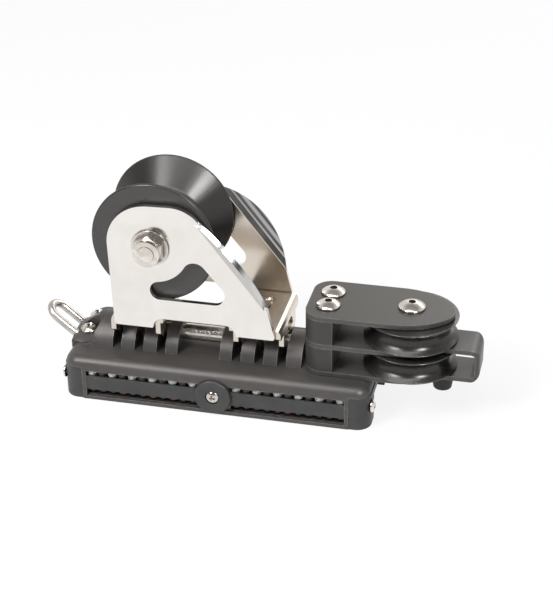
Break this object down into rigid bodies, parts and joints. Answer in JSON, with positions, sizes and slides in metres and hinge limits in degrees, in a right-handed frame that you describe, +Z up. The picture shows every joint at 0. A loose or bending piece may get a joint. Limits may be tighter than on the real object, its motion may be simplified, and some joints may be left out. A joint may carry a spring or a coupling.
{
  "type": "sheet lead track car",
  "caption": "Ball-bearing car for a deck track: a stainless housing with a large lead sheave tilts on the slider, and an end block with a becket takes the control line.",
  "frame": {"origin": "middle of the track channel on the slider's underside", "axes": "+X along the track from the bail to the control block, +Y across the track away from the axle nut, +Z up"},
  "size_m": [0.2716, 0.0766, 0.1435],
  "materials": {
    "anodised_body": "hard anodised black, satin",
    "anodised_sheave": "hard anodised black, turned",
    "black_moulding": "moulded, fine grain",
    "polished_stainless": "mirror polished stainless sheet and rod",
    "stainless_hardware": "bright stainless",
    "balls": "polished",
    "acetal": "white bearing plastic"
  },
  "bodies": {
    "slider": {"slider_body": "anodised_body", "left_end_cap": "black_moulding", "right_end_cap": "black_moulding", "end_cap_screws": "stainless_hardware", "front_race_cover": "black_moulding", "rear_race_cover": "black_moulding", "front_centre_disc": "anodised_body", "rear_centre_disc": "anodised_body", "centre_disc_screws": "stainless_hardware", "front_return_balls": "balls", "rear_return_balls": "balls", "front_load_balls": "balls", "rear_load_balls": "balls", "tilt_pin": "stainless_hardware", "bail": "polished_stainless", "bail_cover": "anodised_body", "bail_cover_screws": "stainless_hardware", "block_frame": "anodised_body", "block_top_plate": "anodised_body", "lower_spacer": "anodised_body", "upper_spacer": "anodised_body", "block_screws": "stainless_hardware", "control_axle": "stainless_hardware", "control_axle_nut": "stainless_hardware", "control_sheave_bushes": "acetal", "keeper_foot": "black_moulding"},
    "housing": {"sheave_housing": "polished_stainless", "axle_bolt": "stainless_hardware", "axle_nut": "stainless_hardware", "axle_washers": "stainless_hardware", "sheave_bush": "acetal", "sheave_side_washers": "acetal"},
    "lead_sheave": {"lead_sheave": "anodised_sheave"},
    "upper_control_sheave": {"upper_control_sheave": "anodised_sheave"},
    "lower_control_sheave": {"lower_control_sheave": "anodised_sheave"}
  },
  "joints": [
    {"name": "housing_tilt", "type": "hinge", "parent": "slider", "child": "housing", "pos_m": [0, 0, 0.035], "axis": [1, 0, 0], "range_deg": [-35, 35]},
    {"name": "lead_sheave_spin", "type": "hinge", "parent": "housing", "child": "lead_sheave", "pos_m": [-0.0371, 0, 0.1056], "axis": [0, 1, 0], "continuous": true},
    {"name": "upper_control_sheave_spin", "type": "hinge", "parent": "slider", "child": "upper_control_sheave", "pos_m": [0.114, 0, 0.05725], "axis": [0, 0, 1], "continuous": true},
    {"name": "lower_control_sheave_spin", "type": "hinge", "parent": "slider", "child": "lower_control_sheave", "pos_m": [0.114, 0, 0.03875], "axis": [0, 0, 1], "continuous": true}
  ]
}
